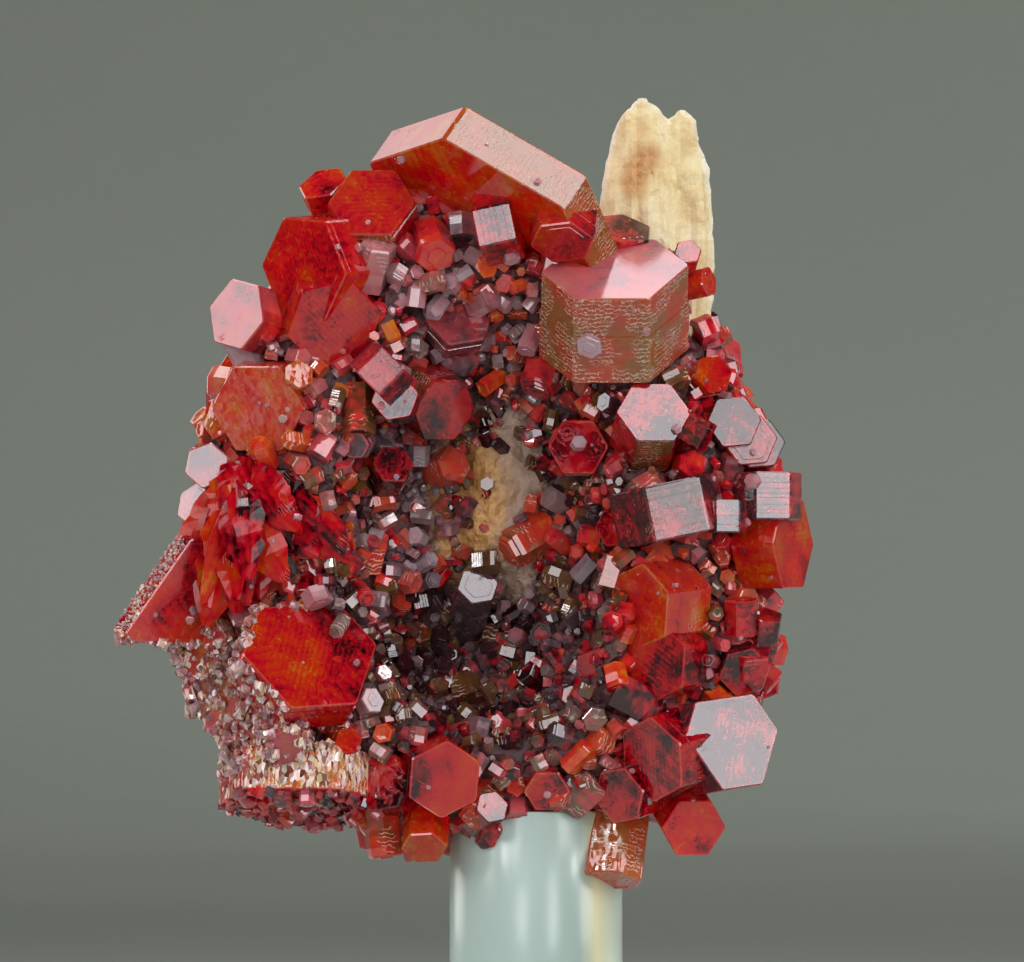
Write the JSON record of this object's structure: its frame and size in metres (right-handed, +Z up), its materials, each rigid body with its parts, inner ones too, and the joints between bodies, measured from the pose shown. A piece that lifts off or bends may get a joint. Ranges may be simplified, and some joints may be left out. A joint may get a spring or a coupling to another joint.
{
  "type": "vanadinite on matrix",
  "caption": "Display mineral specimen: deep red hexagonal vanadinite crystals around a druse-lined hollow in pale barite rock, on a clear rod and foot.",
  "frame": {"origin": "middle of the stand foot's underside, under the rod's axis", "axes": "+Z up along the rod, +X to the right of the display side, +Y away from the display side, which faces -Y"},
  "size_m": [0.0451, 0.044, 0.0595],
  "materials": {
    "crystal": "glossy, resinous, part see-through",
    "matrix": "rough, crystalline",
    "stand": "clear, polished"
  },
  "bodies": {
    "root": {"back_left_prism": "crystal", "back_left_tablet": "crystal", "back_low_prism": "crystal", "back_right_prism": "crystal", "back_right_tablet": "crystal", "back_top_tablet": "crystal", "bottom_grey_prism": "crystal", "crown_tablet": "crystal", "fan_plate_upper": "crystal", "hollow_white_prism": "crystal", "left_front_tablet": "crystal", "left_rough_tablet": "crystal", "left_wedge_tablet": "crystal", "lilac_prism": "crystal", "matrix": "matrix", "right_amber_prism": "crystal", "right_pink_prism": "crystal", "right_shoulder_prism": "crystal", "rim_diamond_prism": "crystal", "rim_grey_bud": "crystal", "rim_left_prism": "crystal", "rim_red_prism": "crystal", "rim_upper_prism": "crystal", "side_left_tablet": "crystal", "side_right_prism": "crystal", "smoky_prism": "crystal", "stand_foot": "stand", "stand_rod": "stand"}
  },
  "joints": []
}
